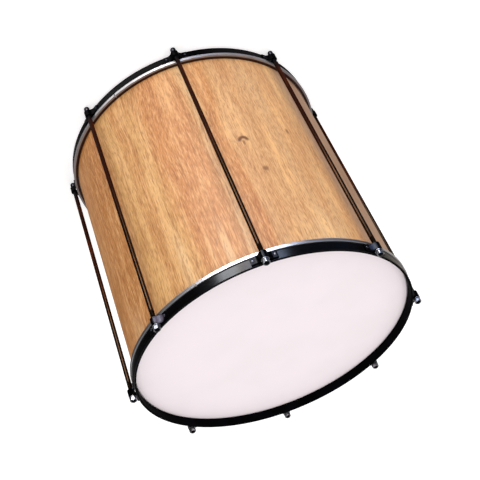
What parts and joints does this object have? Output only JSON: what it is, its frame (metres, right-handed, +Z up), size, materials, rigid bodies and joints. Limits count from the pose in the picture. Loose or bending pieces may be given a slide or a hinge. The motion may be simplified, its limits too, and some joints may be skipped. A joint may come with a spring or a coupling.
{
  "type": "repique drum",
  "caption": "Small cylindrical wooden drum with a film head at each end, held by black flat hoops, strap ears and full-length tension rods with nuts.",
  "frame": {"origin": "on the floor plane under the drum's axis, level with the undersides of the rod heads", "axes": "+Z up along the drum's axis, the first rod at -Y"},
  "size_m": [0.3312, 0.3312, 0.3253],
  "materials": {
    "shell_wood": "satin lacquer",
    "head_film": "satin",
    "flesh_ring": "satin",
    "hoop_black": "gloss",
    "rod_black": "satin",
    "nut_steel": "polished"
  },
  "bodies": {
    "drum": {"shell": "shell_wood", "top_head_film": "head_film", "bottom_head_film": "head_film", "top_flesh_ring": "flesh_ring", "bottom_flesh_ring": "flesh_ring", "bottom_hoop": "hoop_black", "bottom_ear_1": "hoop_black", "bottom_ear_2": "hoop_black", "bottom_ear_3": "hoop_black", "bottom_ear_4": "hoop_black", "bottom_ear_5": "hoop_black", "bottom_ear_6": "hoop_black", "bottom_ear_7": "hoop_black", "bottom_ear_8": "hoop_black", "tension_rod_1": "rod_black", "tension_rod_2": "rod_black", "tension_rod_3": "rod_black", "tension_rod_4": "rod_black", "tension_rod_5": "rod_black", "tension_rod_6": "rod_black", "tension_rod_7": "rod_black", "tension_rod_8": "rod_black"},
    "top_hoop": {"top_hoop": "hoop_black", "top_ear_1": "hoop_black", "top_ear_2": "hoop_black", "top_ear_3": "hoop_black", "top_ear_4": "hoop_black", "top_ear_5": "hoop_black", "top_ear_6": "hoop_black", "top_ear_7": "hoop_black", "top_ear_8": "hoop_black", "washer_1": "nut_steel", "washer_2": "nut_steel", "washer_3": "nut_steel", "washer_4": "nut_steel", "washer_5": "nut_steel", "washer_6": "nut_steel", "washer_7": "nut_steel", "washer_8": "nut_steel"},
    "nut_1": {"tension_nut_1": "nut_steel"},
    "nut_2": {"tension_nut_2": "nut_steel"},
    "nut_3": {"tension_nut_3": "nut_steel"},
    "nut_4": {"tension_nut_4": "nut_steel"},
    "nut_5": {"tension_nut_5": "nut_steel"},
    "nut_6": {"tension_nut_6": "nut_steel"},
    "nut_7": {"tension_nut_7": "nut_steel"},
    "nut_8": {"tension_nut_8": "nut_steel"}
  },
  "joints": [
    {"name": "top_hoop_slide", "type": "slide", "parent": "drum", "child": "top_hoop", "axis": [0, 0, 1], "range_m": [0, 0.003]},
    {"name": "nut_1_turn", "type": "hinge", "parent": "top_hoop", "child": "nut_1", "pos_m": [0, -0.1614, 0.3221], "axis": [0, 0, 1], "range_deg": [0, 1354]},
    {"name": "nut_2_turn", "type": "hinge", "parent": "top_hoop", "child": "nut_2", "pos_m": [0.11413, -0.11413, 0.3221], "axis": [0, 0, 1], "range_deg": [0, 1354]},
    {"name": "nut_3_turn", "type": "hinge", "parent": "top_hoop", "child": "nut_3", "pos_m": [0.1614, 0, 0.3221], "axis": [0, 0, 1], "range_deg": [0, 1354]},
    {"name": "nut_4_turn", "type": "hinge", "parent": "top_hoop", "child": "nut_4", "pos_m": [0.11413, 0.11413, 0.3221], "axis": [0, 0, 1], "range_deg": [0, 1354]},
    {"name": "nut_5_turn", "type": "hinge", "parent": "top_hoop", "child": "nut_5", "pos_m": [0, 0.1614, 0.3221], "axis": [0, 0, 1], "range_deg": [0, 1354]},
    {"name": "nut_6_turn", "type": "hinge", "parent": "top_hoop", "child": "nut_6", "pos_m": [-0.11413, 0.11413, 0.3221], "axis": [0, 0, 1], "range_deg": [0, 1354]},
    {"name": "nut_7_turn", "type": "hinge", "parent": "top_hoop", "child": "nut_7", "pos_m": [-0.1614, 0, 0.3221], "axis": [0, 0, 1], "range_deg": [0, 1354]},
    {"name": "nut_8_turn", "type": "hinge", "parent": "top_hoop", "child": "nut_8", "pos_m": [-0.11413, -0.11413, 0.3221], "axis": [0, 0, 1], "range_deg": [0, 1354]}
  ],
  "couplings": [
    {"joint": "nut_1_turn", "follows": "top_hoop_slide", "rad_per_m": 7854},
    {"joint": "nut_2_turn", "follows": "top_hoop_slide", "rad_per_m": 7854},
    {"joint": "nut_3_turn", "follows": "top_hoop_slide", "rad_per_m": 7854},
    {"joint": "nut_4_turn", "follows": "top_hoop_slide", "rad_per_m": 7854},
    {"joint": "nut_5_turn", "follows": "top_hoop_slide", "rad_per_m": 7854},
    {"joint": "nut_6_turn", "follows": "top_hoop_slide", "rad_per_m": 7854},
    {"joint": "nut_7_turn", "follows": "top_hoop_slide", "rad_per_m": 7854},
    {"joint": "nut_8_turn", "follows": "top_hoop_slide", "rad_per_m": 7854}
  ]
}
